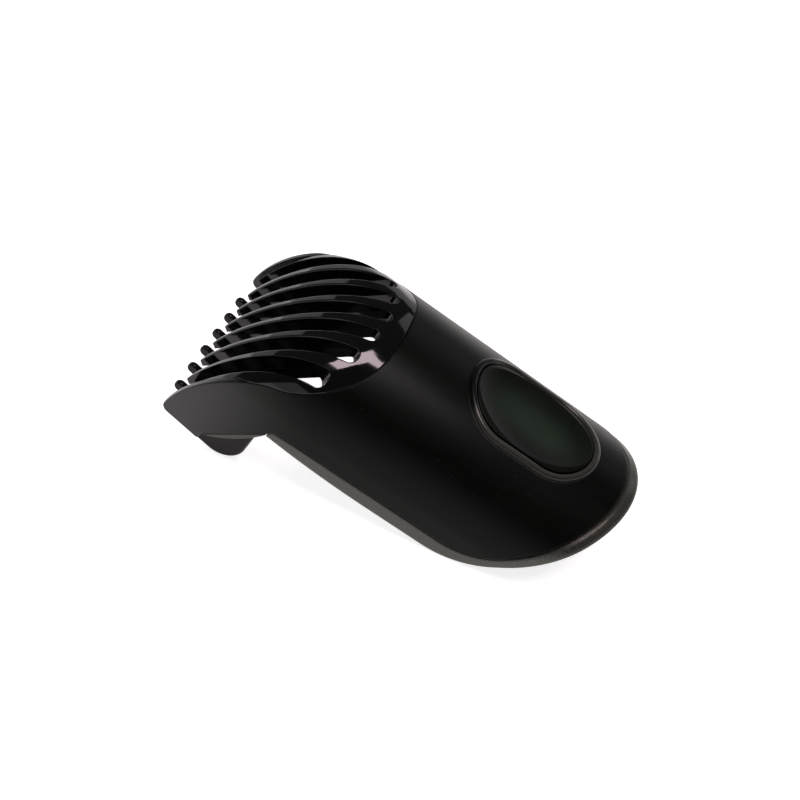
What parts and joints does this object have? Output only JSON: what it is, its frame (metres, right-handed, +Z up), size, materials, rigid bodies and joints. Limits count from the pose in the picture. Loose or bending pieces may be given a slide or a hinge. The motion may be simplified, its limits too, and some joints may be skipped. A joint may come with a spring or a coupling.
{
  "type": "hair clipper guide comb",
  "caption": "Slide-on guide comb for a hair clipper: arched body, curved comb ribs over a skid with hooked bars, and a sprung release button that rocks a lock pawl.",
  "frame": {"origin": "centre of the bounding box, on the ground the part lies on", "axes": "+X from the comb tips to the tail, +Y across the ribs, +Z up, with the part lying on its front skids and its tail edges"},
  "size_m": [0.1042, 0.049, 0.0375],
  "materials": {
    "shell": "fine satin texture",
    "frame": "satin",
    "comb": "high gloss",
    "skid": "gloss",
    "button": "smooth satin",
    "lock": "plain moulded",
    "steel": "bright"
  },
  "bodies": {
    "comb_body": {"outer_shell": "shell", "inner_frame": "frame", "comb_insert": "comb", "skid_comb": "skid", "lock_carrier": "lock", "carrier_screws": "steel", "pawl_pin": "steel", "left_spring": "steel", "right_spring": "steel"},
    "button": {"release_button": "button"},
    "pawl": {"lock_pawl": "lock"}
  },
  "joints": [
    {"name": "button_press", "type": "slide", "parent": "comb_body", "child": "button", "axis": [-0.2692, 0, -0.9631], "range_m": [0, 0.0016], "stiffness_N_per_m": 1200, "springref_m": -0.0015, "deforming": ["left_spring", "right_spring"]},
    {"name": "pawl_pivot", "type": "hinge", "parent": "comb_body", "child": "pawl", "pos_m": [0.02166, 0, 0.01939], "axis": [0, 1, 0], "range_deg": [0, 10.5]}
  ],
  "couplings": [
    {"joint": "pawl_pivot", "follows": "button_press", "rad_per_m": 111.7}
  ]
}
